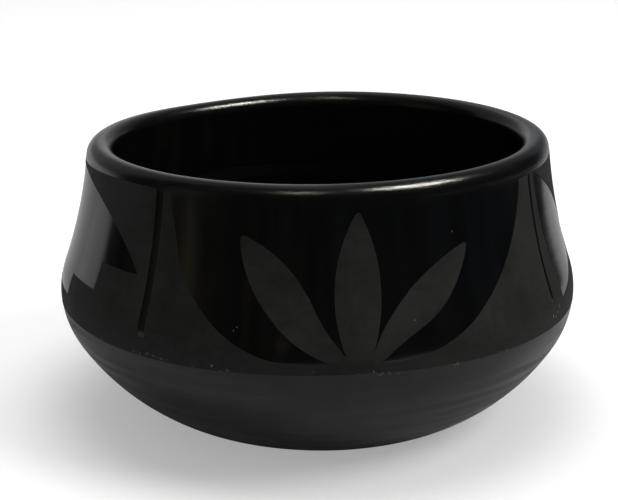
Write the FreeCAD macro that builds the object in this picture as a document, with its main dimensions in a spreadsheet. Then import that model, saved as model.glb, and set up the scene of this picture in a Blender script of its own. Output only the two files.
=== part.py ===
import FreeCAD
import Part

import math
import os
import re

import Sketcher

# A hand-built blackware jar: a dish-moulded base, three wall coils and a rim coil, luted together,
# coated with burnished slip and painted with matte slip. Sizes are in millimetres. The front
# window with its three leaves faces -Y, and +Z is up from the flat foot, which rests on zero.
SIZES = {
    # The outer outline, a chain of tangent arcs from the foot to the lip
    "height": 81.6,
    "widest_radius": 76.0,
    "shoulder_height": 37.2,
    "shoulder_round": 23.5,
    "belly_round": 62.0,
    "foot_inset": 39.5,
    "foot_round": 30.0,
    "lip_inset": 12.5,
    "neck_round": 144.0,
    "wall_thickness": 7.0,
    # How far each joint of the coils falls outwards across the wall
    "joint_fall": 5.0,
    # The two coats of slip, and how far each of them goes
    "slip_thickness": 0.3,
    "slip_foot_height": 1.6,
    "slip_rise": 20.4,
    "paint_thickness": 0.2,
    "paint_foot_height": 35.2,
    "rim_band_height": 4.8,
    # The upright polished lines between the four panels
    "line_width": 1.9,
    "line_clearance": 4.4,
    # The polished window of the front and back panels, a bowl with a smaller round on its left
    "window_clearance": 3.0,
    "window_left_margin": 10.2,
    "window_right_margin": 11.7,
    "window_left_round": 26.5,
    "window_right_round": 40.0,
    # The three leaves in it, whose roots start below its edge
    "leaf_root_depth": 1.5,
    "centre_leaf_root_depth": 5.0,
    "centre_leaf_root_offset": 4.0,
    "centre_leaf_tip_offset": 2.5,
    "centre_leaf_height": 40.9,
    "centre_leaf_round": 41.7,
    "left_leaf_reach": 31.4,
    "left_leaf_height": 34.7,
    "left_leaf_root": 4.5,
    "left_leaf_belly_round": 31.6,
    "left_leaf_back_round": 30.3,
    "left_leaf_waist_reach": 13.5,
    "left_leaf_waist_height": 13.3,
    "right_leaf_reach": 26.9,
    "right_leaf_height": 30.2,
    "right_leaf_root": 1.5,
    "right_leaf_root_height": 4.8,
    "right_leaf_belly_round": 26.0,
    "right_leaf_back_round": 45.3,
    "right_leaf_waist_reach": 9.5,
    "right_leaf_waist_height": 9.3,
    # The polished arch over falling steps, in the left panel
    "arch_margin": 6.4,
    "arch_round": 57.0,
    "arch_spring_height": 20.0,
    "step_outer_half_width": 30.2,
    "step_outer_height": 12.1,
    "step_inner_half_width": 14.6,
    "step_inner_height": 5.8,
    # The pair of polished half leaves, in the right panel
    "half_leaf_margin": 6.4,
    "half_leaf_height": 42.5,
    "half_leaf_tip": 14.0,
    "half_leaf_tip_height": 17.8,
    "half_leaf_foot_height": 6.2,
    "half_leaf_upper_round": 200.0,
    "half_leaf_lower_round": 160.0,
    # One overrun serves every cut
    "overrun": 5.0,
}
# Round sizes that follow from the driving ones
FOOT_RADIUS = "(widest_radius - foot_inset)"
LIP_CREST_RADIUS = "(widest_radius - lip_inset)"
PAINT_TOP = "(height - rim_band_height)"
FRONT_PANEL_DEGREES = 96.6
FRONT_HALF_WIDTH = f"widest_radius * sin({FRONT_PANEL_DEGREES} deg / 2)"
SIDE_HALF_WIDTH = f"widest_radius * cos({FRONT_PANEL_DEGREES} deg / 2)"
FRONT, LEFT, BACK, RIGHT = 0, -90, 180, 90
FULL_TURN = 360
UP = FreeCAD.Vector(0, 0, 1)
CLAY_NAMES = ("base_bowl", "wall_coil_lower", "wall_coil_middle", "wall_coil_upper", "rim_coil")
# Where the joints lie on the way up from the shoulder to the top
JOINT_SHARES = (0.0, 0.29, 0.52, 0.78)
# How a sketch numbers the ends of an edge, and its origin
START, END, CENTRE = 1, 2, 3
ORIGIN = (-1, 1)

doc = FreeCAD.newDocument("blackware_jar")
sheet = doc.addObject("Spreadsheet::Sheet", "sizes")
for row, (size_name, size) in enumerate(SIZES.items(), start=1):
    sheet.set(f"A{row}", size_name)
    sheet.set(f"B{row}", str(size))
    sheet.setAlias(f"B{row}", size_name)
doc.recompute()


def value(formula):
    """The value of a formula written in the names of the sizes."""
    return float(sheet.evalExpression(formula))


def bind(item, field, formula):
    """Ties a field of an object to a formula of the sizes."""
    named = re.sub(r"[a-z_]+", lambda word: f"sizes.{word[0]}" if word[0] in SIZES else word[0], formula)
    item.setExpression(field, named)


def point(x, z):
    return FreeCAD.Vector(x, z, 0)


def heading(start, end):
    return math.atan2(end.y - start.y, end.x - start.x)


def circles_meet(first, first_reach, second, second_reach):
    """Where two circles cross, to the right of the way from the first centre to the second."""
    way = second - first
    along = (first_reach**2 - second_reach**2 + way.Length**2) / (2 * way.Length)
    aside = math.sqrt(first_reach**2 - along**2)
    way.normalize()
    return first + way * along + point(way.y, -way.x) * aside


def new_sketch(name):
    """A new body, and a sketch on its upright plane that faces the front."""
    body = doc.addObject("PartDesign::Body", name)
    sketch = body.newObject("Sketcher::SketchObject", f"{name}_sketch")
    plane = next(feature for feature in body.Origin.OriginFeatures if feature.Role == "XZ_Plane")
    sketch.AttachmentSupport = (plane, [""])
    sketch.MapMode = "FlatFace"
    return body, sketch


def line(sketch, start, end):
    return sketch.addGeometry(Part.LineSegment(start, end))


def arc(sketch, centre, radius, start_angle, end_angle):
    circle = Part.Circle(centre, FreeCAD.Vector(0, 0, 1), radius)
    return sketch.addGeometry(Part.ArcOfCircle(circle, start_angle, end_angle))


def constrain(sketch, kind, *places):
    sketch.addConstraint(Sketcher.Constraint(kind, *places))


def measure(sketch, kind, places, formula):
    """Holds a radius or a distance in a sketch at a formula's value."""
    number = sketch.addConstraint(Sketcher.Constraint(kind, *places, value(formula)))
    bind(sketch, f"Constraints[{number}]", formula)


def locate(sketch, edge, end, across, up):
    """Holds one point of an edge at its distances from the origin."""
    measure(sketch, "DistanceX", (*ORIGIN, edge, end), across)
    measure(sketch, "DistanceY", (*ORIGIN, edge, end), up)


# The vessel's outline. The skins of slip and paint have the clay's arcs about the same centres,
# grown by what lies under them, so that each seats face to face on the one before.


def outline_centres():
    """The centres of the foot, belly, shoulder, neck and lip arcs, each tangent to the next."""
    foot = point(value(FOOT_RADIUS), value("foot_round"))
    shoulder = point(value("widest_radius - shoulder_round"), value("shoulder_height"))
    lip = point(value(LIP_CREST_RADIUS), value("height - wall_thickness / 2"))
    belly = circles_meet(
        shoulder, value("belly_round - shoulder_round"), foot, value("belly_round - foot_round")
    )
    neck = circles_meet(
        shoulder, value("shoulder_round + neck_round"), lip, value("neck_round + wall_thickness / 2")
    )
    return foot, belly, shoulder, neck, lip


def draw_outline(sketch, growth):
    """Draws the outside from the axis at the foot to the top of the neck, grown by a formula."""
    foot_at, belly_at, shoulder_at, neck_at, lip_at = outline_centres()
    grown = value(growth)
    floor = line(sketch, point(0, -grown), point(value(FOOT_RADIUS), -grown))
    to_belly, to_shoulder = heading(belly_at, foot_at), heading(belly_at, shoulder_at)
    foot = arc(sketch, foot_at, value("foot_round") + grown, -math.pi / 2, to_belly)
    belly = arc(sketch, belly_at, value("belly_round") + grown, to_belly, to_shoulder)
    to_neck = heading(shoulder_at, neck_at)
    shoulder = arc(sketch, shoulder_at, value("shoulder_round") + grown, to_shoulder, to_neck)
    to_lip = heading(neck_at, lip_at)
    neck = arc(sketch, neck_at, value("neck_round") - grown, to_lip, to_neck + math.pi)
    constrain(sketch, "Vertical", *ORIGIN, floor, START)
    constrain(sketch, "Horizontal", floor)
    locate(sketch, floor, END, FOOT_RADIUS, f"-({growth})")
    constrain(sketch, "Tangent", floor, END, foot, START)
    constrain(sketch, "Tangent", foot, END, belly, START)
    constrain(sketch, "Tangent", belly, END, shoulder, START)
    constrain(sketch, "Tangent", shoulder, END, neck, END)
    locate(sketch, shoulder, CENTRE, "widest_radius - shoulder_round", "shoulder_height")
    for edge, radius in ((foot, "foot_round"), (belly, "belly_round"), (shoulder, "shoulder_round")):
        measure(sketch, "Radius", (edge,), f"{radius} + ({growth})")
    measure(sketch, "Radius", (neck,), f"neck_round - ({growth})")
    return floor, foot, belly, shoulder, neck


def close_on_axis(sketch, floor, last, last_end, floor_start, last_point):
    """Closes an outline with an upright line on the axis, from its last edge to its floor."""
    axis = line(sketch, last_point, floor_start)
    constrain(sketch, "Coincident", last, last_end, axis, START)
    constrain(sketch, "Coincident", axis, END, floor, START)


def revolve(body, sketch):
    revolution = body.newObject("PartDesign::Revolution", f"{body.Name}_turned")
    revolution.Profile = sketch
    revolution.ReferenceAxis = (sketch, ["V_Axis"])
    revolution.Angle = FULL_TURN
    return body


def hollow_form(name, growth):
    """The whole wall, with its rounded lip, grown on every face by a formula."""
    body, sketch = new_sketch(name)
    floor, foot, belly, shoulder, neck = draw_outline(sketch, growth)
    foot_at, belly_at, shoulder_at, neck_at, lip_at = outline_centres()
    inset = value(f"wall_thickness + ({growth})")
    lip_angle = heading(lip_at, neck_at)
    lip = arc(sketch, lip_at, value(f"wall_thickness / 2 + ({growth})"), lip_angle, lip_angle + math.pi)
    to_lip, to_neck = heading(neck_at, lip_at), heading(shoulder_at, neck_at)
    to_belly, to_shoulder = heading(belly_at, foot_at), heading(belly_at, shoulder_at)
    inner_neck = arc(sketch, neck_at, value("neck_round") + inset, to_lip, to_neck + math.pi)
    inner_shoulder = arc(sketch, shoulder_at, value("shoulder_round") - inset, to_shoulder, to_neck)
    inner_belly = arc(sketch, belly_at, value("belly_round") - inset, to_belly, to_shoulder)
    inner_foot = arc(sketch, foot_at, value("foot_round") - inset, -math.pi / 2, to_belly)
    inner_floor = line(sketch, point(foot_at.x, inset), point(0, inset))
    constrain(sketch, "Tangent", neck, START, lip, START)
    locate(sketch, lip, CENTRE, LIP_CREST_RADIUS, "height - wall_thickness / 2")
    measure(sketch, "Radius", (lip,), f"wall_thickness / 2 + ({growth})")
    constrain(sketch, "Tangent", lip, END, inner_neck, START)
    constrain(sketch, "Tangent", inner_neck, END, inner_shoulder, END)
    constrain(sketch, "Tangent", inner_shoulder, START, inner_belly, END)
    constrain(sketch, "Tangent", inner_belly, START, inner_foot, END)
    constrain(sketch, "Tangent", inner_foot, START, inner_floor, START)
    constrain(sketch, "Horizontal", inner_floor)
    constrain(sketch, "Vertical", *ORIGIN, inner_floor, END)
    pairs = ((inner_neck, neck), (inner_shoulder, shoulder), (inner_belly, belly), (inner_foot, foot))
    for inner, outer in pairs:
        constrain(sketch, "Coincident", inner, CENTRE, outer, CENTRE)
    close_on_axis(sketch, floor, inner_floor, END, point(0, -value(growth)), point(0, inset))
    return revolve(body, sketch)


def filled_form(name, growth, top):
    """All that the outline holds up to a flat top, grown by a formula."""
    body, sketch = new_sketch(name)
    floor, foot, belly, shoulder, neck = draw_outline(sketch, growth)
    neck_at, lip_at = outline_centres()[-2:]
    lip = sketch.addGeometry(Part.Circle(lip_at, FreeCAD.Vector(0, 0, 1), value("wall_thickness / 2")), True)
    locate(sketch, lip, CENTRE, LIP_CREST_RADIUS, "height - wall_thickness / 2")
    measure(sketch, "Radius", (lip,), f"wall_thickness / 2 + ({growth})")
    constrain(sketch, "Tangent", neck, lip)
    level = value(top)
    neck_radius = value("neck_round") - value(growth)
    corner = point(neck_at.x - math.sqrt(neck_radius**2 - (level - neck_at.y) ** 2), level)
    lid = line(sketch, corner, point(0, level))
    constrain(sketch, "Coincident", neck, START, lid, START)
    measure(sketch, "DistanceY", (*ORIGIN, lid, START), top)
    constrain(sketch, "Horizontal", lid)
    constrain(sketch, "Vertical", *ORIGIN, lid, END)
    close_on_axis(sketch, floor, lid, END, point(0, -value(growth)), point(0, level))
    return revolve(body, sketch)


def slab(name, top):
    """A wide round slab from under the foot up to a height."""
    disc = doc.addObject("Part::Cylinder", name)
    bind(disc, "Radius", "widest_radius + overrun")
    bind(disc, "Height", f"{top} + overrun")
    bind(disc, "Placement.Base.z", "-overrun")
    return disc


def below_joint(name, share):
    """All that lies below one joint, which falls outwards: a cone from the axis to under the foot."""
    joint_height = f"shoulder_height + (height - shoulder_height) * {share}"
    cone_height = f"{joint_height} + overrun + {LIP_CREST_RADIUS} * joint_fall / wall_thickness"
    cone = doc.addObject("Part::Cone", name)
    bind(cone, "Height", cone_height)
    bind(cone, "Radius1", f"({cone_height}) * wall_thickness / joint_fall")
    cone.Radius2 = 0
    bind(cone, "Placement.Base.z", "-overrun")
    return cone


def cut(name, base, tool):
    result = doc.addObject("Part::Cut", name)
    result.Base = base
    result.Tool = tool
    return result


def gather(kind, name, *shapes):
    """A Part::MultiFuse or Part::MultiCommon of some shapes."""
    result = doc.addObject(kind, name)
    result.Shapes = list(shapes)
    return result


# The painted shapes. Each is drawn flat, as seen from in front of its panel, and pushed out from
# the axis. All corners go round anticlockwise, so that every arc bulges out of its shape.


def painted(name, turn, corners, rounds):
    """A flat shape pushed out through the wall; a round is the radius of the edge after a corner."""
    body, sketch = new_sketch(name)
    places = [point(value(across), value(up)) for across, up in corners]
    for index, (start, radius) in enumerate(zip(places, rounds)):
        end = places[(index + 1) % len(places)]
        if radius is None:
            line(sketch, start, end)
            continue
        half = (end - start) / 2
        left = point(-half.y, half.x).normalize()
        centre = start + half + left * math.sqrt(value(radius) ** 2 - half.Length**2)
        arc(sketch, centre, value(radius), heading(centre, start), heading(centre, end))
        measure(sketch, "Radius", (index,), radius)
    for index, (across, up) in enumerate(corners):
        constrain(sketch, "Coincident", index - 1 if index else len(corners) - 1, END, index, START)
        locate(sketch, index, START, across, up)
    pad = body.newObject("PartDesign::Pad", f"{name}_pushed")
    pad.Profile = sketch
    bind(pad, "Length", "widest_radius + overrun")
    body.Placement = FreeCAD.Placement(FreeCAD.Vector(), FreeCAD.Rotation(UP, turn))
    return body


def polished_line(name, turn):
    foot = "paint_foot_height + line_clearance"
    side = "line_width / 2"
    corners = [(f"-{side}", "height"), (f"-{side}", foot), (side, foot), (side, "height")]
    return painted(name, turn, corners, [None] * len(corners))


def window(name, turn):
    """The polished bowl that hangs from the rim band."""
    bottom = "paint_foot_height + window_clearance"
    top = "height + window_right_round"
    left = f"({FRONT_HALF_WIDTH} - window_left_margin)"
    right = f"({FRONT_HALF_WIDTH} - window_right_margin)"
    corners = [
        (f"-{left}", top),
        (f"-{left}", f"{bottom} + window_left_round"),
        (f"window_left_round - {left}", bottom),
        (f"{right} - window_right_round", bottom),
        (right, f"{bottom} + window_right_round"),
        (right, top),
    ]
    return painted(name, turn, corners, [None, "window_left_round", None, "window_right_round", None, None])


def leaf_root(depth):
    return f"paint_foot_height + window_clearance - {depth}"


def centre_leaf(name, turn):
    tip = ("-centre_leaf_tip_offset", "paint_foot_height + centre_leaf_height")
    root = ("-centre_leaf_root_offset", leaf_root("centre_leaf_root_depth"))
    return painted(name, turn, [tip, root], ["centre_leaf_round", "centre_leaf_round"])


def left_leaf(name, turn):
    tip = ("-left_leaf_reach", "paint_foot_height + left_leaf_height")
    root = ("-left_leaf_root", leaf_root("leaf_root_depth"))
    waist = ("-left_leaf_waist_reach", "paint_foot_height + left_leaf_waist_height")
    return painted(name, turn, [tip, root, waist], ["left_leaf_belly_round", None, "left_leaf_back_round"])


def right_leaf(name, turn):
    tip = ("right_leaf_reach", "paint_foot_height + right_leaf_height")
    side_root = ("-right_leaf_root", "paint_foot_height + right_leaf_root_height")
    root = ("0", leaf_root("leaf_root_depth"))
    waist = ("right_leaf_waist_reach", "paint_foot_height + right_leaf_waist_height")
    rounds = ["right_leaf_back_round", None, None, "right_leaf_belly_round"]
    return painted(name, turn, [tip, side_root, root, waist], rounds)


def stepped_arch(name, turn):
    """An arch whose foot narrows in two steps."""
    spring = "paint_foot_height + arch_spring_height"
    outer_step = "paint_foot_height + step_outer_height"
    inner_step = "paint_foot_height + step_inner_height"
    arch_foot = f"({SIDE_HALF_WIDTH} - arch_margin)"
    right_half = [
        ("step_inner_half_width", inner_step),
        ("step_inner_half_width", outer_step),
        ("step_outer_half_width", outer_step),
        ("step_outer_half_width", spring),
        (arch_foot, spring),
    ]
    left_half = [(f"-{across}", up) for across, up in reversed(right_half)]
    rounds = [*[None for _ in right_half[1:]], "arch_round", *[None for _ in left_half]]
    return painted(name, turn, right_half + left_half, rounds)


def half_leaf(name, turn, side):
    """One of the pair that face each other; its straight edge stands beside a polished line."""
    edge = f"({SIDE_HALF_WIDTH} - half_leaf_margin)"
    top = (f"{side}{edge}", "paint_foot_height + half_leaf_height")
    foot = (f"{side}{edge}", "paint_foot_height + half_leaf_foot_height")
    tip = (f"{side}half_leaf_tip", "paint_foot_height + half_leaf_tip_height")
    if side == "-":
        return painted(name, turn, [top, foot, tip], [None, "half_leaf_lower_round", "half_leaf_upper_round"])
    return painted(name, turn, [top, tip, foot], ["half_leaf_upper_round", "half_leaf_lower_round", None])


def build_clay():
    """The base and the coils, parted by the slanting joints at which they are luted together."""
    coils = []
    rest = hollow_form("clay_form", "0")
    for name, share in zip(CLAY_NAMES, JOINT_SHARES):
        below = below_joint(f"up_to_{name}", share)
        coils.append(gather("Part::MultiCommon", name, rest, below))
        rest = cut(f"clay_above_{name}", rest, below)
    rest.Label = CLAY_NAMES[-1]
    return [*coils, rest]


def build_slip(clay_form):
    """The burnished coat, bare under the foot and inside below the neck."""
    coat = cut("coat", hollow_form("slip_form", "slip_thickness"), clay_form)
    inside = filled_form("inside_form", "-wall_thickness / 2", "shoulder_height + slip_rise")
    outside = cut("coat_outside", coat, inside)
    return cut("burnished_slip", outside, slab("bare_foot", "slip_foot_height"))


def build_paint():
    """The matte ground with its polished windows and lines, and the leaves in the windows."""
    band = cut(
        "paint_band",
        cut(
            "paint_skin",
            filled_form("paint_form", "slip_thickness + paint_thickness", PAINT_TOP),
            filled_form("slip_core", "slip_thickness", PAINT_TOP),
        ),
        slab("below_paint", "paint_foot_height"),
    )
    leaves = []
    openings = []
    for side, turn in (("front", FRONT), ("back", BACK)):
        opening = window(f"{side}_window", turn)
        field = gather("Part::MultiCommon", f"{side}_field", band, opening)
        centre = centre_leaf(f"{side}_centre_outline", turn)
        rest = cut(f"{side}_beside_centre", field, centre)
        left = left_leaf(f"{side}_left_outline", turn)
        right = right_leaf(f"{side}_right_outline", turn)
        leaves.append(gather("Part::MultiCommon", f"{side}_leaf_centre", field, centre))
        leaves.append(gather("Part::MultiCommon", f"{side}_leaf_left", rest, left))
        leaves.append(gather("Part::MultiCommon", f"{side}_leaf_right", rest, right))
        openings.append(opening)
        for edge, sign in (("left", -1), ("right", 1)):
            openings.append(polished_line(f"{side}_{edge}_line", turn + sign * FRONT_PANEL_DEGREES / 2))
    openings.append(stepped_arch("stepped_arch", LEFT))
    openings.append(half_leaf("half_leaf_one", RIGHT, "-"))
    openings.append(half_leaf("half_leaf_two", RIGHT, ""))
    ground = cut("matte_ground", band, gather("Part::MultiFuse", "openings", *openings))
    return [ground, *leaves]


clay = build_clay()
nodes = [*clay, build_slip(doc.getObject("clay_form")), *build_paint()]
doc.recompute()
for item in doc.Objects:
    if {"Invalid", "Error"} & set(item.State):
        raise RuntimeError(f"{item.Name} is {item.State}")
os.makedirs("parts", exist_ok=True)
for node in nodes:
    shape = node.Shape
    if shape.isNull() or not shape.isValid() or len(shape.Solids) != 1:
        raise RuntimeError(f"{node.Label} isn't one valid solid")
    shape.exportStep(f"parts/{node.Label}.step")
    print(f"{node.Label}: {shape.Volume:.1f} mm3, {len(shape.Faces)} faces")
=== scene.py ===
import math

import bpy
import numpy as np
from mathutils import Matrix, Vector, noise
from mathutils.geometry import delaunay_2d_cdt


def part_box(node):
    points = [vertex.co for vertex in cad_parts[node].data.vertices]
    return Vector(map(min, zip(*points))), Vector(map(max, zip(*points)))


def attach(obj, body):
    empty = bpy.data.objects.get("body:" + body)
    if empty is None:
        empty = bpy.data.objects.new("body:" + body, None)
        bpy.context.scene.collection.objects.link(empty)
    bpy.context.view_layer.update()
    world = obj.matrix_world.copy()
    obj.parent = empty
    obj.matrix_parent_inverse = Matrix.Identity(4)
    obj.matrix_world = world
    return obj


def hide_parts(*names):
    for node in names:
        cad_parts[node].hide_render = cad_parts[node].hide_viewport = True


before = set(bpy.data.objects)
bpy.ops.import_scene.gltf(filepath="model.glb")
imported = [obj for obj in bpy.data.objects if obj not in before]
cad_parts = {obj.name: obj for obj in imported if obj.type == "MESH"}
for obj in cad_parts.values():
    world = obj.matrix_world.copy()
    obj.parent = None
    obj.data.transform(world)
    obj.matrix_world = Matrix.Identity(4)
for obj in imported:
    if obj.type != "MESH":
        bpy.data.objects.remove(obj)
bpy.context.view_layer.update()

# The jar stands on the floor with its front window towards -Y. Angles round it are counted from
# the front towards +X. Lengths are in metres.
MM = 0.001

# The outline of the clay, a chain of tangent arcs from the foot to the lip
SLIP = 0.3 * MM
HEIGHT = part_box("burnished_slip")[1].z - SLIP
WIDEST_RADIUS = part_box("burnished_slip")[1].x - SLIP
SHOULDER_HEIGHT = 37.2 * MM
SHOULDER_ROUND = 23.5 * MM
BELLY_ROUND = 62.0 * MM
FOOT_RADIUS = 36.5 * MM
FOOT_ROUND = 30.0 * MM
LIP_CREST_RADIUS = 63.5 * MM
NECK_ROUND = 144.0 * MM
WALL = 7.0 * MM
# The joints of the coils: how far up from the shoulder to the top each one lies, and how they fall
JOINT_SHARES = [0.0, 0.29, 0.52, 0.78]
JOINT_SLOPE = 5.0 * MM / WALL
# The burnished coat: where it starts above the foot, and how far above the shoulder it ends inside
SLIP_FOOT = 1.6 * MM
SLIP_RISE = 20.4 * MM

# The painted band and its panels, how thick the paint is, and how deep it is bedded in the slip
PAINT = 0.09 * MM
PAINT_BEDDING = 0.03 * MM
PAINT_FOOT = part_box("matte_ground")[0].z
PAINT_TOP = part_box("matte_ground")[1].z
FRONT_PANEL = math.radians(96.6)
FRONT, LEFT, BACK, RIGHT = 0.0, -math.pi / 2, math.pi, math.pi / 2
SEAM = -0.75 * math.pi
# How fine the meshes are, and how close two points are that count as one
OUTLINE_STEP = 0.7 * MM
GRID_STEP = 1.5 * MM
AROUND = 384
MERGE = 1e-7

# The view: how far it turns from the front window, how far it looks down, and the photograph's frame
VIEW_TURN = math.radians(-10.65)
VIEW_DOWN = math.radians(17.4)
VIEW_DISTANCE = 440 * MM
VIEW_TARGET = Vector((0, 0, 40 * MM))
IMAGE_WIDTH, IMAGE_HEIGHT = 618, 500
FOCAL_PIXELS = 1460.5
TARGET_PIXEL = (318, 268)
SENSOR = 36.0

# What the hand does to the turned form and to the drawing. Waves round the jar are given as height,
# count and start, and ripples over it as height, length and seed. Turns are from the camera's side.
RIM_TILT = 0.9 * MM
RIM_DIP = 0.9 * MM
RIM_DIP_TURN = math.radians(-144)
RIM_DIP_NARROWNESS = 9
SWELL_WAVES = [(0.22 * MM, 2, math.pi / 2 + 0.8), (0.16 * MM, 3, math.pi / 2 - 1.1)]
SWELL_RIPPLES = [(0.14 * MM, 45 * MM, 1), (0.05 * MM, 17 * MM, 2)]
INNER_RIPPLE = (0.28 * MM, 26 * MM, 3)
INNER_RIPPLE_FLATNESS = 3.2
SWELL_START_RADIUS = 20 * MM
FOOT_ASIDE = 0.5 * MM
SLIP_EDGE_WAVES = [(1.1 * MM, 2, 1), (0.66 * MM, 5, 0), (0.55 * MM, 11, 2)]
SLIP_EDGE_REACH = 8 * MM
PAINT_FOOT_WAVES = [(0.3 * MM, 2, 0.6), (0.2 * MM, 5, 2)]
PAINT_TOP_WAVES = [(0.6 * MM, 1, -VIEW_TURN), (0.2 * MM, 4, 1)]
PAINT_RISE = 2.4 * MM
PAINT_RISE_TURN = math.radians(-42)
PAINT_RISE_NARROWNESS = 5
BRUSH_WAVER = 0.12 * MM
BRUSH_WAVER_LENGTH = 7 * MM


# Shapes


def circles_meet(first, first_reach, second, second_reach):
    """Where two circles cross, to the right of the way from the first centre to the second."""
    way = second - first
    length = np.linalg.norm(way)
    along = (first_reach**2 - second_reach**2 + length**2) / (2 * length)
    aside = math.sqrt(first_reach**2 - along**2)
    way = way / length
    return first + way * along + np.array([way[1], -way[0]]) * aside


FOOT_AT = np.array([FOOT_RADIUS, FOOT_ROUND])
SHOULDER_AT = np.array([WIDEST_RADIUS - SHOULDER_ROUND, SHOULDER_HEIGHT])
LIP_AT = np.array([LIP_CREST_RADIUS, HEIGHT - WALL / 2])
BELLY_AT = circles_meet(SHOULDER_AT, BELLY_ROUND - SHOULDER_ROUND, FOOT_AT, BELLY_ROUND - FOOT_ROUND)
NECK_AT = circles_meet(SHOULDER_AT, SHOULDER_ROUND + NECK_ROUND, LIP_AT, NECK_ROUND + WALL / 2)


def heading(start, end):
    """The direction from one point to another, as an angle."""
    return math.atan2(end[1] - start[1], end[0] - start[0])


def arc(centre, radius, start, end, step=0.8 * MM):
    """Points along an arc, both its ends among them."""
    count = max(3, math.ceil(abs(end - start) * radius / step))
    angles = np.linspace(start, end, count + 1)
    return centre + radius * np.stack([np.cos(angles), np.sin(angles)], axis=1)


def outside(growth):
    """The outer outline from the axis at the foot to the start of the lip."""
    to_belly, to_shoulder = heading(BELLY_AT, FOOT_AT), heading(BELLY_AT, SHOULDER_AT)
    to_neck, to_lip = heading(SHOULDER_AT, NECK_AT), heading(NECK_AT, LIP_AT) % (2 * math.pi)
    floor = np.array([[radius, -growth] for radius in np.linspace(0, FOOT_RADIUS, 20)[:-1]])
    return np.vstack([
        floor,
        arc(FOOT_AT, FOOT_ROUND + growth, -math.pi / 2, to_belly)[:-1],
        arc(BELLY_AT, BELLY_ROUND + growth, to_belly, to_shoulder)[:-1],
        arc(SHOULDER_AT, SHOULDER_ROUND + growth, to_shoulder, to_neck)[:-1],
        arc(NECK_AT, NECK_ROUND - growth, to_neck + math.pi, to_lip),
    ])


def lip(growth):
    """The rounded lip, from the outside over the crest to the inside."""
    start = heading(LIP_AT, NECK_AT)
    return arc(LIP_AT, WALL / 2 + growth, start, start + math.pi, 0.4 * MM)


def inside(growth):
    """The inner outline from the axis at the floor to the start of the lip."""
    path = outside(-WALL)
    path[:, 1] = np.maximum(path[:, 1], WALL)
    normals = np.gradient(path, axis=0)
    normals = np.stack([-normals[:, 1], normals[:, 0]], axis=1)
    return path + normals / np.linalg.norm(normals, axis=1)[:, None] * growth


def radius_at(height, growth):
    """The outer radius at a height anywhere from the belly to the crest."""
    crest = lip(growth)
    path = np.vstack([outside(growth), crest[crest[:, 0] > LIP_CREST_RADIUS]])
    wall = path[path[:, 1] > FOOT_ROUND / 4]
    return np.interp(height, wall[:, 1], wall[:, 0])


def smooth(amount):
    """A soft step from 0 to 1."""
    amount = np.clip(amount, 0, 1)
    return amount * amount * (3 - 2 * amount)


def ripple(points, scale, seed):
    """Smooth noise between about -1 and 1 at some points, whose features are as long as the scale."""
    offset = Vector((seed * 7.3, seed * 3.1, seed * 5.7))
    return np.array([noise.noise(Vector(point) / scale + offset) for point in points])


def waves(angle, terms):
    """The sum of some waves round the jar, given as height, count and start."""
    return sum(height * np.sin(count * angle + start) for height, count, start in terms)


def hump(angle, middle, narrowness):
    """1 at one angle and less away from it, the sooner the narrower it is."""
    return np.exp((np.cos(angle - middle) - 1) * narrowness)


def hand_formed(points, depth):
    """Moves points from the turned form to the hand-built one. Depth is 0 outside and 1 inside."""
    angle = np.arctan2(points[:, 0], -points[:, 1])
    seen_angle = angle - VIEW_TURN
    height = points[:, 2]
    rise = smooth((height - SHOULDER_HEIGHT) / (HEIGHT - SHOULDER_HEIGHT))
    sink = 1 - smooth(height / SHOULDER_HEIGHT)
    lift = RIM_TILT * np.sin(seen_angle)
    lift -= RIM_DIP * hump(seen_angle, RIM_DIP_TURN, RIM_DIP_NARROWNESS)
    swell = waves(angle, SWELL_WAVES)
    for size, length, seed in SWELL_RIPPLES:
        swell += size * ripple(points, length, seed)
    size, length, seed = INNER_RIPPLE
    swell -= depth * size * ripple(points * [1, 1, INNER_RIPPLE_FLATNESS], length, seed)
    radius = np.hypot(points[:, 0], points[:, 1])
    swell *= np.clip(radius / SWELL_START_RADIUS, 0, 1)
    away = points[:, :2] / np.maximum(radius, 1e-9)[:, None]
    moved = points.copy()
    moved[:, :2] += away * swell[:, None]
    moved[:, 0] += sink * FOOT_ASIDE
    moved[:, 2] += rise * lift
    return moved


def add_mesh(name, points, faces, material, replaced):
    """A piece of the jar, in place of the solids that it stands for."""
    mesh = bpy.data.meshes.new(name)
    mesh.from_pydata(points.tolist(), [], faces)
    mesh.validate()
    mesh.shade_smooth()
    mesh.set_sharp_from_angle(angle=math.radians(40))
    mesh.materials.append(material)
    piece = bpy.data.objects.new(name, mesh)
    bpy.context.scene.collection.objects.link(piece)
    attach(piece, "root")
    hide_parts(*replaced)


def turned(name, path, depth, material, replaced, wave=None):
    """A ring or a bowl, turned from a closed path, or from one that starts and ends on the axis."""
    angles = np.arange(AROUND) * 2 * math.pi / AROUND
    poles = path[0, 0] == 0
    points = []
    faces = []
    for row, (radius, height) in enumerate(path):
        heights = np.full(AROUND, height)
        radii = np.full(AROUND, radius)
        if wave is not None:
            radii, heights = wave(row, angles, radii, heights)
        ring = np.stack([radii * np.sin(angles), -radii * np.cos(angles), heights], axis=1)
        points.append(hand_formed(ring, depth[row]))
    points = np.vstack(points)
    rows = len(path)
    last = rows - 1 if poles else rows
    for row in range(last):
        low, high = row * AROUND, (row + 1) % rows * AROUND
        for step in range(AROUND):
            after = (step + 1) % AROUND
            corners = [low + step, low + after, high + after, high + step]
            if poles and row == 0:
                corners = [0, high + after, high + step]
            if poles and row == rows - 2:
                corners = [low + step, low + after, high]
            faces.append(corners)
    add_mesh(name, points, faces, material, replaced)


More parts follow.
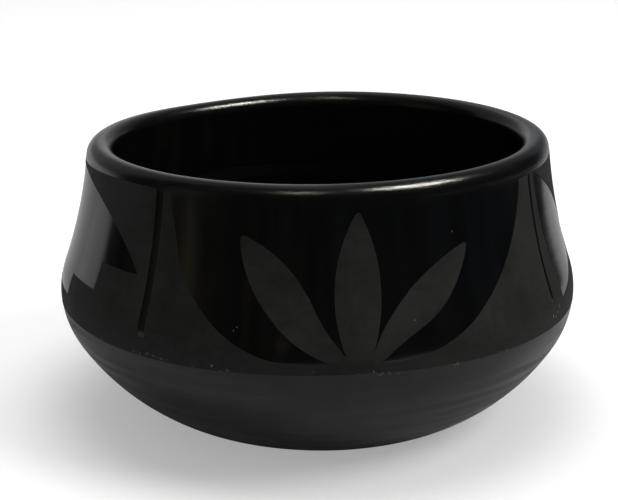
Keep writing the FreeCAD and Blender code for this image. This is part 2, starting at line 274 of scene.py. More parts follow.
def cross_joint(path, height):
    """The part of a path below one joint, the joint's own point, and the part above it."""
    level = path[:, 1] + (path[:, 0] - LIP_CREST_RADIUS) * JOINT_SLOPE - height
    index = int(np.argmax((level[:-1] < 0) & (level[1:] >= 0) & (path[:-1, 0] > FOOT_RADIUS)))
    share = level[index] / (level[index] - level[index + 1])
    middle = path[index] + (path[index + 1] - path[index]) * share
    return np.vstack([path[: index + 1], middle]), np.vstack([middle, path[index + 1:]])


def build_clay(material):
    """The base, the three wall coils and the rim coil, parted at their slanting joints."""
    names = ["base_bowl", "wall_coil_lower", "wall_coil_middle", "wall_coil_upper", "rim_coil"]
    outer, inner = outside(0), inside(0)
    for name, share in zip(names, JOINT_SHARES):
        joint = SHOULDER_HEIGHT + (HEIGHT - SHOULDER_HEIGHT) * share
        outer_part, outer = cross_joint(outer, joint)
        inner_part, inner = cross_joint(inner, joint)
        path = np.vstack([outer_part, inner_part[::-1]])
        depth = [0] * len(outer_part) + [1] * len(inner_part)
        turned(f"{name}_formed", path, depth, material, [name])
    crest = lip(0)[1:-1]
    path = np.vstack([outer, crest, inner[::-1]])
    depth = [0] * len(outer) + list(np.linspace(0, 1, len(crest))) + [1] * len(inner)
    turned("rim_coil_formed", path, depth, material, ["rim_coil"])


def build_slip(material):
    """The burnished coat, whose brushed edge wanders inside the neck."""
    edge = SHOULDER_HEIGHT + SLIP_RISE
    layers = []
    for growth in (SLIP, 0):
        outer, crest, inner = outside(growth), lip(growth)[1:-1], inside(growth)[::-1]
        outer = outer[outer[:, 1] > SLIP_FOOT]
        inner = inner[inner[:, 1] > edge]
        depth = [0] * len(outer) + list(np.linspace(0, 1, len(crest))) + [1] * len(inner)
        layers.append((np.vstack([outer, crest, inner]), depth))
    (skin, skin_depth), (bed, bed_depth) = layers
    path = np.vstack([skin, bed[::-1]])
    depth = skin_depth + bed_depth[::-1]

    def wave(row, angles, radii, heights):
        """Lets the inner edge of the coat wander down, along the wall."""
        near = smooth(1 - (heights - edge) / SLIP_EDGE_REACH) * depth[row]
        lower = heights + near * waves(angles, SLIP_EDGE_WAVES)
        wall = inside(SLIP if row < len(skin) else 0)
        wall = wall[wall[:, 1] > SHOULDER_HEIGHT]
        before = np.interp(heights, wall[:, 1], wall[:, 0])
        after = np.interp(lower, wall[:, 1], wall[:, 0])
        return radii + (after - before) * (near > 0), lower

    turned("slip_coat", path, depth, material, ["burnished_slip"], wave)


# The painted outlines. Each is drawn flat, as seen from in front of its panel, as height over
# distance across, and then laid on the wall. All go round anticlockwise, so that arcs bulge out.


def closed_outline(corners, rounds):
    """A flat closed outline; a round is the radius of the edge after a corner, or nothing."""
    pieces = []
    for index, radius in enumerate(rounds):
        start = np.array(corners[index])
        end = np.array(corners[(index + 1) % len(corners)])
        if radius is None:
            count = max(2, math.ceil(np.linalg.norm(end - start) / OUTLINE_STEP))
            pieces.append(start + (end - start) * np.linspace(0, 1, count + 1)[:-1, None])
            continue
        half = (end - start) / 2
        length = np.linalg.norm(half)
        left = np.array([-half[1], half[0]]) / length
        centre = start + half + left * math.sqrt(radius**2 - length**2)
        first, last = heading(centre, start), heading(centre, end)
        if last < first:
            last += 2 * math.pi
        pieces.append(arc(centre, radius, first, last, OUTLINE_STEP)[:-1])
    return np.vstack(pieces)


def laid_on_wall(outline, turn):
    """Turns distances across into angles round the jar, and lets the brush waver a little."""
    # The third coordinate gives each panel a waver of its own
    panel = np.full(len(outline), turn * 10 * MM)
    places = np.column_stack([outline, panel])
    across = outline[:, 0] + BRUSH_WAVER * ripple(places, BRUSH_WAVER_LENGTH, 4)
    height = outline[:, 1] + BRUSH_WAVER * ripple(places, BRUSH_WAVER_LENGTH, 5)
    radii = radius_at(np.clip(height, PAINT_FOOT, HEIGHT - WALL), SLIP)
    return np.stack([turn + np.arcsin(np.clip(across / radii, -1, 1)), height], axis=1)


def mm_corners(*corners):
    """Corners given in millimetres across and above the foot of the paint."""
    return [(across * MM, PAINT_FOOT + up * MM) for across, up in corners]


# Heights and distances in the outlines are in millimetres. The top is well over the band's, and a
# panel's half is the distance from its middle to its side.
TOP = 60
FRONT_HALF = WIDEST_RADIUS * math.sin(FRONT_PANEL / 2) / MM
SIDE_HALF = WIDEST_RADIUS * math.cos(FRONT_PANEL / 2) / MM
SIDE_MARGIN = 6.4
# The lines beside each window: side, half width, how far the top leans over, and the foot's height
LINES = [(-1, 1.2, 0.5, 4.9), (1, 0.6, -2.4, 7.0)]
LINE_HEIGHT = 42
# How corners of the leaves are rounded: how far from the corner, and in how many rounds
TIP_SOFTNESS = (2.2 * MM, 5)
WAIST_SOFTNESS = (7 * MM, 60)


def polished_line(half_width, lean, foot):
    """The line between two panels; its top leans over a little."""
    lean *= (TOP - foot) / LINE_HEIGHT
    corners = mm_corners(
        (lean - half_width, TOP), (-half_width, foot), (half_width, foot), (lean + half_width, TOP)
    )
    return closed_outline(corners, [None] * 4)


def window():
    """The bowl-shaped window, with the smaller round on its left and a flare at its top."""
    foot = 3.0
    left, left_round, left_flare = FRONT_HALF - 10.2, 26.5, 2.5
    right, right_round, right_flare = FRONT_HALF - 11.7, 40.0, 1.5
    corners = mm_corners(
        (-left - left_flare, TOP), (-left, foot + left_round), (left_round - left, foot),
        (right - right_round, foot), (right, foot + right_round), (right + right_flare, TOP),
    )
    return closed_outline(corners, [None, left_round * MM, None, right_round * MM, None, None])


def softened(outline, corner, reach, rounds):
    """Rounds a corner of an outline, more so with more rounds."""
    share = 0.5 * smooth(1 - np.linalg.norm(outline - corner, axis=1) / reach)[:, None]
    for _ in range(rounds):
        middle = (np.roll(outline, 1, axis=0) + np.roll(outline, -1, axis=0)) / 2
        outline = outline + (middle - outline) * share
    return outline


# The leaves' corners start at the tip. The side leaves narrow to a waist above their roots.


def centre_leaf():
    corners = mm_corners((-2.5, 40.9), (-4.0, -2.0))
    outline = closed_outline(corners, [41.7 * MM] * 2)
    return softened(outline, corners[0], *TIP_SOFTNESS)


def left_leaf():
    corners = mm_corners((-31.4, 34.7), (-4.5, 1.5), (-13.5, 13.3))
    outline = closed_outline(corners, [31.6 * MM, None, 30.3 * MM])
    outline = softened(outline, corners[2], *WAIST_SOFTNESS)
    return softened(outline, corners[0], *TIP_SOFTNESS)


def right_leaf():
    corners = mm_corners((26.9, 30.2), (-1.1, 3.1), (0, 1.5), (9.5, 9.3))
    outline = closed_outline(corners, [45.3 * MM, None, None, 26.0 * MM])
    outline = softened(outline, corners[3], *WAIST_SOFTNESS)
    return softened(outline, corners[0], *TIP_SOFTNESS)


def stepped_arch():
    """The arch over two steps on each side, drawn from its right half."""
    arch_foot = 20.0
    steps = [(14.6, 5.8), (14.6, 12.1), (30.2, 12.1), (30.2, arch_foot)]
    half = [*steps, (SIDE_HALF - SIDE_MARGIN, arch_foot)]
    corners = mm_corners(*half, *[(-across, up) for across, up in reversed(half)])
    return closed_outline(corners, [None] * 4 + [57.0 * MM] + [None] * 5)


def half_leaf(side):
    """One of the two leaves that point at each other, cut off at the panel's side."""
    edge = SIDE_HALF - SIDE_MARGIN
    top, tip, foot = (side * edge, 42.5), (side * 14.0, 17.8), (side * edge, 6.2)
    upper, lower = 200 * MM, 160 * MM
    if side < 0:
        return closed_outline(mm_corners(top, foot, tip), [None, lower, upper])
    return closed_outline(mm_corners(top, tip, foot), [upper, lower, None])


def contains(outline, points):
    """Which points lie in a closed outline."""
    result = np.zeros(len(points), bool)
    before = outline[-1]
    for after in outline:
        spans = (before[1] > points[:, 1]) != (after[1] > points[:, 1])
        rise = after[1] - before[1] if after[1] != before[1] else 1.0
        crossing = before[0] + (points[:, 1] - before[1]) * (after[0] - before[0]) / rise
        result ^= spans & (points[:, 0] < crossing)
        before = after
    return result


def nearest(points, segments):
    """The distance from each point to the nearest of some segments."""
    start, end = segments[:, 0], segments[:, 1]
    way = end - start
    length = np.maximum((way**2).sum(1), 1e-12)
    best = np.full(len(points), np.inf)
    for first in range(0, len(points), 500):
        block = points[first:first + 500]
        share = np.clip(((block[:, None] - start) * way).sum(2) / length, 0, 1)
        gap = block[:, None] - (start + way * share[:, :, None])
        best[first:first + 500] = np.sqrt((gap**2).sum(2)).min(1)
    return best


def unrolled(outline):
    """An outline on the wall as lengths on the unrolled band, which starts at the seam."""
    middle = outline[:, 0].mean()
    turns = int(middle < SEAM) - int(middle > SEAM + 2 * math.pi)
    return (outline + [2 * math.pi * turns, 0]) * [WIDEST_RADIUS, 1]


def painted_outlines():
    """The bare openings in the paint, and the leaves, each with the number of its window."""
    openings = []
    leaves = []
    for side, turn in (("front", FRONT), ("back", BACK)):
        window_number = len(openings)
        openings.append(laid_on_wall(window(), turn))
        for sign, half_width, lean, foot in LINES:
            line = polished_line(half_width, lean, foot)
            openings.append(laid_on_wall(line, turn + sign * FRONT_PANEL / 2))
        for place, shape in (("centre", centre_leaf()), ("left", left_leaf()), ("right", right_leaf())):
            outline = unrolled(laid_on_wall(shape, turn))
            leaves.append((f"{side}_leaf_{place}", outline, window_number))
    openings.append(laid_on_wall(stepped_arch(), LEFT))
    openings.append(laid_on_wall(half_leaf(-1), RIGHT))
    openings.append(laid_on_wall(half_leaf(1), RIGHT))
    return [unrolled(outline) for outline in openings], leaves


def band_border():
    """The edge of the unrolled band: along its foot, up the seam, back along its top, and down."""
    start, end = SEAM * WIDEST_RADIUS, (SEAM + 2 * math.pi) * WIDEST_RADIUS
    across = np.linspace(start, end, round((end - start) / OUTLINE_STEP) + 1)
    angle = across / WIDEST_RADIUS
    foot = PAINT_FOOT + waves(angle, PAINT_FOOT_WAVES)
    top = PAINT_TOP + waves(angle, PAINT_TOP_WAVES)
    top += PAINT_RISE * hump(angle - VIEW_TURN, PAINT_RISE_TURN, PAINT_RISE_NARROWNESS)
    foot[-1], top[-1] = foot[0], top[0]
    upright = np.linspace(foot[0], top[0], round((top[0] - foot[0]) / OUTLINE_STEP))[1:-1]
    return np.vstack([
        np.stack([across, foot], 1),
        np.stack([np.full(len(upright), end), upright], 1),
        np.stack([across, top], 1)[::-1],
        np.stack([np.full(len(upright), start), upright[::-1]], 1),
    ])


def net_over(border, loops):
    """A net of triangles within a border, some of whose edges follow all the loops."""
    segments = np.vstack([np.stack([loop, np.roll(loop, -1, axis=0)], axis=1) for loop in loops])
    across = np.arange(border[:, 0].min() + GRID_STEP, border[:, 0].max(), GRID_STEP)
    up = np.arange(PAINT_FOOT, PAINT_TOP, GRID_STEP)
    grid = np.stack(np.meshgrid(across, up), axis=2).reshape(-1, 2)
    grid[:, 0] += (np.round(grid[:, 1] / GRID_STEP) % 2) * GRID_STEP / 2
    grid = grid[contains(border, grid)]
    # Points that crowd a loop are left out
    grid = grid[nearest(grid, segments) > 0.45 * GRID_STEP]
    points = []
    edges = []
    for loop in loops:
        first = len(points)
        points.extend(Vector(place) for place in loop)
        edges.extend((first + i, first + (i + 1) % len(loop)) for i in range(len(loop)))
    points.extend(Vector(place) for place in grid)
    net, _, triangles, _, _, _ = delaunay_2d_cdt(points, edges, [], 0, MERGE)
    return np.array([tuple(place) for place in net]), np.array(triangles)


def build_paint(material):
    """The matte ground and the leaves, cut out of one net that covers the whole painted band."""
    openings, leaves = painted_outlines()
    border = band_border()
    net, triangles = net_over(border, [border, *openings, *[outline for _, outline, _ in leaves]])
    centres = net[triangles].mean(axis=1)
    in_band = contains(border, centres)
    in_openings = [contains(outline, centres) for outline in openings]
    taken = np.zeros(len(centres), bool)
    for name, outline, window_number in leaves:
        in_leaf = contains(outline, centres) & in_openings[window_number] & in_band & ~taken
        taken |= in_leaf
        painted_skin(name, net, triangles[in_leaf], material)
    bare = np.any(in_openings, axis=0)
    painted_skin("matte_ground", net, triangles[in_band & ~bare], material)


def painted_skin(name, net, triangles, material):
    """A thin closed skin over some triangles of the net, laid on the slip."""
    used, triangles = np.unique(triangles, return_inverse=True)
    triangles = triangles.reshape(-1, 3)
    flat = net[used]
    angles, heights = flat[:, 0] / WIDEST_RADIUS, flat[:, 1]
    layers = []
    for growth in (SLIP + PAINT, SLIP - PAINT_BEDDING):
        radii = radius_at(heights, growth)
        layer = np.stack([radii * np.sin(angles), -radii * np.cos(angles), heights], axis=1)
        layers.append(hand_formed(layer, 0))
    points = np.vstack(layers)
    keys = np.round(points / MERGE).astype(np.int64)
    _, first, same = np.unique(keys, axis=0, return_index=True, return_inverse=True)
    same = same.reshape(-1)
    points = points[first]
    top, bottom = same[triangles], same[triangles + len(used)]
    faces = top.tolist() + bottom[:, ::-1].tolist()
    sides = {}
    for upper, lower in zip(top.tolist(), bottom.tolist()):
        for i in range(3):
            sides[(upper[i], upper[(i + 1) % 3])] = (lower[i], lower[(i + 1) % 3])
    for (start, end), (start_below, end_below) in sides.items():
        if (end, start) not in sides:
            faces.append([end, start, start_below, end_below])
    add_mesh(f"{name}_painted", points, faces, material, [name])


# Materials

# Sockets of the colour mix, which are numbered because their names repeat
MIX_INPUTS = (0, 6, 7)
MIX_OUTPUT = 2
# How the edges of the small chips fray, and where the ridge of the shoulder is worn
FRAY = (2.2 * MM, 1.4 * MM, 1.2 * MM)
FRAY_SCALE = 1500.0
RIDGE_HEIGHT = PAINT_FOOT + 0.1 * MM
# Heights at which the finish changes: from the body's satin to the wall's polish, and at the lip
SATIN_TOP, POLISH_FOOT = 34 * MM, 37 * MM
RUBBED_FOOT, RUBBED_TOP = 76 * MM, 79 * MM
SCUFFED_FOOT, SCUFFED_TOP = 76.5 * MM, 79.5 * MM
# The rusty smudge in the window: degrees round the jar from the camera, height and reach
SMUDGE_TURN, SMUDGE_HEIGHT, SMUDGE_REACH = -6.5, 43 * MM, 3.4 * MM


class Nodes:
    """Adds nodes to a material or a world, and links or sets what they are given."""

    def __init__(self, owner):
        owner.use_nodes = True
        self.tree = owner.node_tree
        self.tree.nodes.clear()

    def add(self, kind, inputs=None, **settings):
        """Adds a node. Inputs are given by a socket's name or number, as a socket or a value."""
        node = self.tree.nodes.new(kind)
        for name, setting in settings.items():
            setattr(node, name, setting)
        for name, source in (inputs or {}).items():
            socket = node.inputs[name]
            if isinstance(source, bpy.types.NodeSocket):
                self.tree.links.new(source, socket)
            else:
                socket.default_value = source
        return node

    def math(self, operation, *sources):
        node = self.add("ShaderNodeMath", dict(enumerate(sources)), operation=operation)
        return node.outputs[0]

    def vector(self, operation, *sources):
        return self.add("ShaderNodeVectorMath", dict(enumerate(sources)), operation=operation)

    def between(self, source, low, high, to_low=0.0, to_high=1.0):
        """A smooth change from one value to another as the source goes from low to high."""
        values = {"Value": source, "From Min": low, "From Max": high}
        values.update({"To Min": to_low, "To Max": to_high})
        return self.add("ShaderNodeMapRange", values, interpolation_type="SMOOTHSTEP").outputs[0]

    def noise(self, where, scale, detail=2.0, roughness=0.5):
        values = {"Vector": where, "Scale": scale, "Detail": detail, "Roughness": roughness}
        return self.add("ShaderNodeTexNoise", values).outputs[0]

    def mix(self, share, first, second):
        """A colour between two others."""
        values = dict(zip(MIX_INPUTS, (share, first, second)))
        return self.add("ShaderNodeMix", values, data_type="RGBA").outputs[MIX_OUTPUT]

    def place(self):
        """The point on the object, its height, and the direction in which it lies from the axis."""
        where = self.add("ShaderNodeTexCoord").outputs["Object"]
        parts = self.add("ShaderNodeSeparateXYZ", {0: where})
        flat = self.vector("MULTIPLY", where, (1, 1, 0)).outputs[0]
        away = self.vector("NORMALIZE", flat).outputs[0]
        return where, parts.outputs[2], away

    def stretched(self, away, height, along, up):
        """Places for a pattern on the wall, in units of its lengths along and up the wall."""
        values = {0: away, "Scale": WIDEST_RADIUS / along}
        level = self.add("ShaderNodeVectorMath", values, operation="SCALE").outputs[0]
        raised = self.math("MULTIPLY", height, 1 / up)
        upright = self.add("ShaderNodeCombineXYZ", {2: raised}).outputs[0]
        return self.vector("ADD", level, upright).outputs[0]

    def worn(self, where, height, spots):
        """1 in some small ragged spots, given as points and sizes, and in dots along the ridge."""
        values = {"Vector": where, "Scale": FRAY_SCALE, "Detail": 4.0}
        ragged = self.add("ShaderNodeTexNoise", values).outputs[1]
        shift = self.vector("SUBTRACT", ragged, (0.5, 0.5, 0.5)).outputs[0]
        shift = self.vector("MULTIPLY", shift, FRAY).outputs[0]
        frayed = self.vector("ADD", where, shift).outputs[0]
        along = self.between(self.noise(where, 75.0, 2.0), 0.5, 0.58)
        dots = self.between(self.noise(where, 1300.0, 3.0), 0.56, 0.62)
        gap = self.math("ABSOLUTE", self.math("SUBTRACT", height, RIDGE_HEIGHT))
        ridge = self.between(gap, 0.6 * MM, 0.25 * MM, 0.0, 0.5)
        total = self.math("MULTIPLY", ridge, self.math("MULTIPLY", along, dots))
        for spot, size in spots:
            gap = self.vector("DISTANCE", frayed, tuple(spot)).outputs["Value"]
            total = self.math("ADD", total, self.between(gap, 0.7 * size, 0.35 * size))
        return self.math("MINIMUM", total, 1.0)

    def bump(self, height, strength, distance, normal=None):
        values = {"Height": height, "Strength": strength, "Distance": distance}
        if normal is not None:
            values["Normal"] = normal
        return self.add("ShaderNodeBump", values).outputs[0]

    def finish(self, shader, output="ShaderNodeOutputMaterial"):
        self.add(output, {"Surface": shader})


def rgb(red, green, blue):
    return (red, green, blue, 1.0)


CLAY_COLOUR = rgb(0.13, 0.12, 0.105)


def on_slip(seen_degrees, height):
    """The point of the slip at an angle round the jar from the camera's side, and at a height."""
    angle = VIEW_TURN + math.radians(seen_degrees)
    radius = radius_at(height, SLIP)
    return hand_formed(np.array([[radius * math.sin(angle), -radius * math.cos(angle), height]]), 0)[0]


def chips():
    """The small chips along the ridge and on the wall, by angle, height and size in millimetres."""
    places = [
        (-71, 35.1, 0.7), (-68, 34.2, 0.6), (-64, 33.9, 0.65), (-62, 35.0, 0.5), (-59, 34.1, 0.6),
        (-54, 35.1, 0.5), (-50, 35.6, 0.5), (-36, 36.0, 0.45), (-34.5, 35.8, 0.4), (-20.8, 36.1, 0.85),
        (-1, 36.5, 0.6), (10.7, 35.9, 0.6), (55, 34.6, 0.5), (58.5, 38.6, 0.75), (60, 37.9, 0.6),
        (60.7, 39.0, 0.65), (62, 40.1, 0.75), (-16, 46.8, 0.5), (-16.6, 45.9, 0.35), (19.5, 48.0, 0.45),
        (30, 68.3, 0.35), (31, 28.5, 0.4), (118, 36.0, 0.6), (141, 35.2, 0.7), (163, 35.5, 0.5),
        (-104, 35.4, 0.6), (-128, 36.3, 0.5), (-152, 35.0, 0.7), (-171, 47.0, 0.5),
    ]
    return [(on_slip(seen, height * MM), size * MM) for seen, height, size in places]


def burnished_slip():
    material = bpy.data.materials.new("burnished_slip")
    nodes = Nodes(material)
    where, height, away = nodes.place()
    body = nodes.between(height, POLISH_FOOT, SATIN_TOP)
    # Level strokes of the polishing stone, upright bands, and clouds
    strokes = nodes.noise(nodes.stretched(away, height, 40 * MM, 2.2 * MM), 1.0, 3.0, 0.6)
    bands = nodes.noise(nodes.stretched(away, height, 5 * MM, 60 * MM), 1.0, 2.0, 0.5)
    cloud = nodes.noise(where, 28.0, 3.0, 0.55)
    # A painted brown reflection over the black, in upright streaks and clouds, mostly on the left
    painted_brown_reflection = nodes.between(nodes.math("MULTIPLY", bands, cloud), 0.22, 0.42)
    aside = nodes.add("ShaderNodeSeparateXYZ", {0: where}).outputs[0]
    painted_brown_reflection = nodes.math("MULTIPLY", painted_brown_reflection, nodes.between(aside, 0.0, -12 * MM, 0.2, 1.0))
    colour = nodes.mix(painted_brown_reflection, rgb(0.0026, 0.0028, 0.0031), rgb(0.0062, 0.0052, 0.0036))
    blotch = nodes.between(nodes.noise(where, 160.0, 5.0, 0.7), 0.4, 0.62)
    colour = nodes.mix(nodes.math("MULTIPLY", body, blotch), colour, rgb(0.0068, 0.0068, 0.0060))
    # Satin on the body, polish on the wall, and a rubbed lip
    satin = nodes.between(strokes, 0.3, 0.7, 0.27, 0.45)
    polish = nodes.between(cloud, 0.35, 0.65, 0.10, 0.16)
    duller = nodes.math("MULTIPLY", body, nodes.math("SUBTRACT", satin, polish))
    rubbed = nodes.between(height, RUBBED_FOOT, RUBBED_TOP, 0.0, 0.1)
    roughness = nodes.math("ADD", nodes.math("ADD", polish, duller), rubbed)
    # The smudge and the chips
    smudge_at = tuple(on_slip(SMUDGE_TURN, SMUDGE_HEIGHT))
    gap = nodes.vector("DISTANCE", where, smudge_at).outputs["Value"]
    smudge = nodes.between(gap, SMUDGE_REACH, 0.6 * MM)
    smudge = nodes.math("MULTIPLY", smudge, nodes.between(cloud, 0.3, 0.6, 0.3, 1.0))
    colour = nodes.mix(smudge, colour, rgb(0.0130, 0.0086, 0.0052))
    worn = nodes.worn(where, height, chips())
    colour = nodes.mix(worn, colour, CLAY_COLOUR)
    roughness = nodes.math("MAXIMUM", roughness, worn)
    # Fine level lines, and scuffs along the lip
    fine = nodes.noise(nodes.stretched(away, height, 9 * MM, 0.5 * MM), 1.0, 4.0, 0.65)
    scuffs = nodes.noise(nodes.stretched(away, height, 14 * MM, 0.7 * MM), 1.0, 4.0, 0.7)
    scuffs = nodes.math("MULTIPLY", scuffs, nodes.between(height, SCUFFED_FOOT, SCUFFED_TOP))
    normal = nodes.bump(fine, 0.25, 0.01 * MM)
    normal = nodes.bump(scuffs, 1.0, 0.08 * MM, normal)
    normal = nodes.bump(strokes, 0.5, 0.05 * MM, normal)
    normal = nodes.bump(worn, -1.0, 0.1 * MM, normal)
    shader = nodes.add("ShaderNodeBsdfPrincipled", {
        "Base Color": colour, "Roughness": roughness, "Normal": normal, "IOR": 1.42,
    })
    nodes.finish(shader.outputs[0])
    return material


def matte_slip():
    material = bpy.data.materials.new("matte_slip")
    nodes = Nodes(material)
    where, height, away = nodes.place()
    # A mottled ground with level brush marks, flecks and a fine grain
    mottle = nodes.noise(where, 70.0, 4.0, 0.6)
    brush = nodes.noise(nodes.stretched(away, height, 14 * MM, 1.4 * MM), 1.0, 3.0, 0.6)
    grain = nodes.noise(where, 2600.0, 3.0, 0.6)
    fleck = nodes.noise(where, 420.0, 4.0, 0.65)
    layers = nodes.math("MULTIPLY_ADD", brush, 0.35, nodes.math("MULTIPLY_ADD", fleck, 0.6, mottle))
    tone = nodes.between(layers, 0.76, 1.2)
    colour = nodes.mix(tone, rgb(0.0098, 0.0101, 0.0093), rgb(0.0172, 0.0176, 0.0166))
    worn = nodes.worn(where, height, chips())
    colour = nodes.mix(worn, colour, CLAY_COLOUR)
    normal = nodes.bump(grain, 0.5, 0.03 * MM)
    normal = nodes.bump(brush, 0.3, 0.03 * MM, normal)
    normal = nodes.bump(worn, -1.0, 0.1 * MM, normal)
    roughness = nodes.between(mottle, 0.3, 0.7, 0.62, 0.74)
    shader = nodes.add("ShaderNodeBsdfPrincipled", {
        "Base Color": colour, "Roughness": roughness, "Normal": normal, "IOR": 1.4,
        "Specular IOR Level": 0.22,
    })
    nodes.finish(shader.outputs[0])
    return material


def fired_clay():
    material = bpy.data.materials.new("fired_clay")
    nodes = Nodes(material)
    where, height, away = nodes.place()
    # Level marks of wiping, clouds, pale specks of temper and a grain
    wiped = nodes.noise(nodes.stretched(away, height, 30 * MM, 2.5 * MM), 1.0, 4.0, 0.6)
    cloud = nodes.noise(where, 40.0, 3.0, 0.55)
    temper = nodes.noise(where, 900.0, 2.0, 0.5)
    speck = nodes.between(temper, 0.66, 0.72)
    tone = nodes.between(nodes.math("ADD", cloud, wiped), 0.8, 1.2)
    colour = nodes.mix(tone, rgb(0.0028, 0.0028, 0.0030), rgb(0.0062, 0.0061, 0.0059))
    colour = nodes.mix(speck, colour, rgb(0.022, 0.021, 0.019))
    grain = nodes.noise(where, 1500.0, 4.0, 0.65)
    normal = nodes.bump(grain, 0.5, 0.06 * MM)
    normal = nodes.bump(wiped, 0.6, 0.12 * MM, normal)
    shader = nodes.add("ShaderNodeBsdfPrincipled", {
        "Base Color": colour, "Roughness": 0.82, "Normal": normal, "Specular IOR Level": 0.15,
    })
    nodes.finish(shader.outputs[0])
    return material


def pale_floor():
    material = bpy.data.materials.new("pale_floor")
    nodes = Nodes(material)
    where = nodes.add("ShaderNodeTexCoord").outputs["Object"]
    tone = nodes.noise(where, 6.0, 3.0, 0.5)
    colour = nodes.mix(tone, rgb(0.61, 0.61, 0.61), rgb(0.65, 0.65, 0.65))
    away = nodes.vector("LENGTH", where).outputs["Value"]
    # For the camera the floor glows up to the backdrop's white; the weaker glow close to the jar is a
    # painted shadow ring round the jar
    glow = nodes.between(away, 68 * MM, 110 * MM, 0.34, 0.56)
    glow = nodes.math("MULTIPLY", glow, nodes.add("ShaderNodeLightPath").outputs["Is Camera Ray"])
    shader = nodes.add("ShaderNodeBsdfPrincipled", {
        "Base Color": colour, "Roughness": 0.9, "Specular IOR Level": 0.1,
        "Emission Color": rgb(1, 1, 1), "Emission Strength": glow,
    })
    nodes.finish(shader.outputs[0])
    return material


def room_wall():
    """What the polish shows of the room: pale to the left and right, with faint streaks between."""
    material = bpy.data.materials.new("room_wall")
    nodes = Nodes(material)
    where = nodes.add("ShaderNodeTexCoord").outputs["Object"]
    parts = nodes.add("ShaderNodeSeparateXYZ", {0: where})
    height = parts.outputs[2]
    angle = nodes.math("ARCTAN2", parts.outputs[0], nodes.math("MULTIPLY", parts.outputs[1], -1.0))
    turn = nodes.math("WRAP", nodes.math("SUBTRACT", angle, VIEW_TURN), math.pi, -math.pi)

    def turn_between(low, high, to_low=0.0, to_high=1.0, source=turn):
        """A smooth change between two turns from the camera's side, in degrees."""
        return nodes.between(source, math.radians(low), math.radians(high), to_low, to_high)

    pale = nodes.math("ADD", turn_between(-109, -113), turn_between(133, 146, 0.0, 0.6))
    behind = turn_between(156, 173, 0.2, 0.55, nodes.math("ABSOLUTE", turn))
    low = nodes.between(height, 0.32, 0.12)
    level = nodes.add("ShaderNodeMix", {0: low, 2: behind, 3: 0.66}).outputs[0]
    bright = nodes.math("MULTIPLY", pale, level)
    places = {0: nodes.math("MULTIPLY", turn, 9.0), 2: height}
    across = nodes.add("ShaderNodeCombineXYZ", places).outputs[0]
    streaks = nodes.between(nodes.noise(across, 1.0, 3.0, 0.6), 0.38, 0.66, 0.25, 1.8)
    warm = nodes.math("MULTIPLY", turn_between(-44, -60), turn_between(-83, -75))
    glow = nodes.math("ADD", 0.03, nodes.math("MULTIPLY", warm, 0.11))
    strength = nodes.math("ADD", bright, nodes.math("MULTIPLY", streaks, glow))
    cool = nodes.mix(nodes.math("MINIMUM", pale, 1.0), rgb(0.84, 0.92, 1), rgb(1, 1, 1))
    olive = nodes.math("MULTIPLY", turn_between(5, -30), turn_between(-105, -85))
    colour = nodes.mix(olive, cool, rgb(0.96, 0.90, 0.62))
    shader = nodes.add("ShaderNodeEmission", {"Color": colour, "Strength": strength})
    nodes.finish(shader.outputs[0])
    return material


# The stage, in metres. The floor's sides are as seen from the camera's side.

FLOOR_LEFT, FLOOR_RIGHT, FLOOR_FRONT, FLOOR_BACK = -0.48, 0.36, -0.21, 1.5
ROOM_RADIUS, ROOM_LOW, ROOM_HIGH, ROOM_SIDES = 1.8, -1.2, 1.6, 96
# The two broad lamps: name, turn from the camera's side and rise in degrees, distance, size and watts
BROAD_LAMPS = [("overhead", 180, 80, 1.4, 1.3, 7.0), ("key", 72, 42, 1.2, 0.6, 7.0)]
# The small lamps, which only the polish shows: name, turn, rise and watts
SMALL_LAMPS = [("lamp_left", -15, 62, 1.3), ("lamp_middle", 70, 66, 11.0), ("lamp_right", 86, 57, 7.0)]
SMALL_LAMP_DISTANCE, SMALL_LAMP_WIDTH, SMALL_LAMP_DEPTH = 1.2, 0.30, 0.16
SMALL_LAMP_COLOUR = (1.0, 0.98, 0.86)
WORLD_DIFFUSE = 0.38


def stage_mesh(name, points, faces, material):
    """Adds a surface that belongs to the stage and not to the jar."""
    mesh = bpy.data.meshes.new(name)
    mesh.from_pydata(points, [], faces)
    mesh.shade_smooth()
    mesh.materials.append(material)
    item = bpy.data.objects.new(name, mesh)
    bpy.context.scene.collection.objects.link(item)
    return item


def build_stage():
    """A pale table top, and the room's walls and ceiling, which only the polish shows."""
    sides = [
        (FLOOR_LEFT, FLOOR_FRONT), (FLOOR_RIGHT, FLOOR_FRONT),
        (FLOOR_RIGHT, FLOOR_BACK), (FLOOR_LEFT, FLOOR_BACK),
    ]
    cosine, sine = math.cos(VIEW_TURN), math.sin(VIEW_TURN)
    points = [(x * cosine - y * sine, x * sine + y * cosine, 0) for x, y in sides]
    stage_mesh("floor", points, [[0, 1, 2, 3]], pale_floor())
    points = []
    for level in (ROOM_LOW, ROOM_HIGH):
        for side in range(ROOM_SIDES):
            angle = 2 * math.pi * side / ROOM_SIDES
            points.append((ROOM_RADIUS * math.sin(angle), -ROOM_RADIUS * math.cos(angle), level))
    faces = []
    for side in range(ROOM_SIDES):
        after = (side + 1) % ROOM_SIDES
        faces.append([side, side + ROOM_SIDES, after + ROOM_SIDES, after])
    ceiling = list(range(ROOM_SIDES, 2 * ROOM_SIDES))
    room = stage_mesh("room", points, [*faces, ceiling], room_wall())
    room.visible_camera = False
    room.visible_diffuse = False
    room.visible_shadow = False


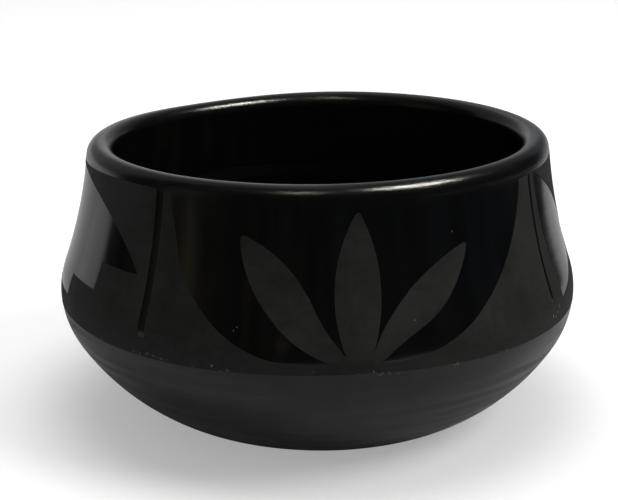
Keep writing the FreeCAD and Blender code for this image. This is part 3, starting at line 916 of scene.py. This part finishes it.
def put_up(name, data, turn, rise, distance):
    """Adds a lamp or camera at a turn from the camera's side and a rise, aimed at the jar."""
    item = bpy.data.objects.new(name, data)
    bpy.context.scene.collection.objects.link(item)
    around = VIEW_TURN + turn
    level = math.cos(rise)
    way = Vector((math.sin(around) * level, -math.cos(around) * level, math.sin(rise)))
    item.location = VIEW_TARGET + way * distance
    item.rotation_euler = way.to_track_quat("Z", "Y").to_euler()
    return item


def area_light(name, turn, rise, distance, width, depth, power):
    """An oval lamp, placed in degrees and metres."""
    data = bpy.data.lights.new(name, "AREA")
    data.shape = "ELLIPSE"
    data.size = width
    data.size_y = depth
    data.energy = power
    return put_up(name, data, math.radians(turn), math.radians(rise), distance)


def build_light():
    world = bpy.data.worlds.new("studio")
    bpy.context.scene.world = world
    nodes = Nodes(world)
    path = nodes.add("ShaderNodeLightPath")
    seen = nodes.math("ADD", path.outputs["Is Camera Ray"], path.outputs["Is Glossy Ray"])
    seen = nodes.math("ADD", seen, path.outputs["Is Transmission Ray"])
    seen = nodes.math("MINIMUM", seen, 1.0)
    strength = nodes.between(seen, 0.0, 1.0, WORLD_DIFFUSE, 1.0)
    background = nodes.add("ShaderNodeBackground", {"Color": rgb(1, 1, 1), "Strength": strength})
    nodes.finish(background.outputs[0], "ShaderNodeOutputWorld")
    for name, turn, rise, distance, size, power in BROAD_LAMPS:
        lamp = area_light(name, turn, rise, distance, size, size, power)
        lamp.visible_glossy = False
    for name, turn, rise, power in SMALL_LAMPS:
        size = (SMALL_LAMP_WIDTH, SMALL_LAMP_DEPTH)
        lamp = area_light(name, turn, rise, SMALL_LAMP_DISTANCE, *size, power)
        lamp.visible_diffuse = False
        lamp.data.color = SMALL_LAMP_COLOUR


def build_camera():
    data = bpy.data.cameras.new("camera")
    data.sensor_fit = "HORIZONTAL"
    data.sensor_width = SENSOR
    data.lens = FOCAL_PIXELS / IMAGE_WIDTH * SENSOR
    data.shift_x = (IMAGE_WIDTH / 2 - TARGET_PIXEL[0]) / IMAGE_WIDTH
    data.shift_y = (TARGET_PIXEL[1] - IMAGE_HEIGHT / 2) / IMAGE_WIDTH
    bpy.context.scene.camera = put_up("camera", data, 0, VIEW_DOWN, VIEW_DISTANCE)


build_camera()
build_clay(fired_clay())
build_slip(burnished_slip())
build_paint(matte_slip())
build_stage()
build_light()
bpy.context.scene.view_settings.view_transform = "Standard"
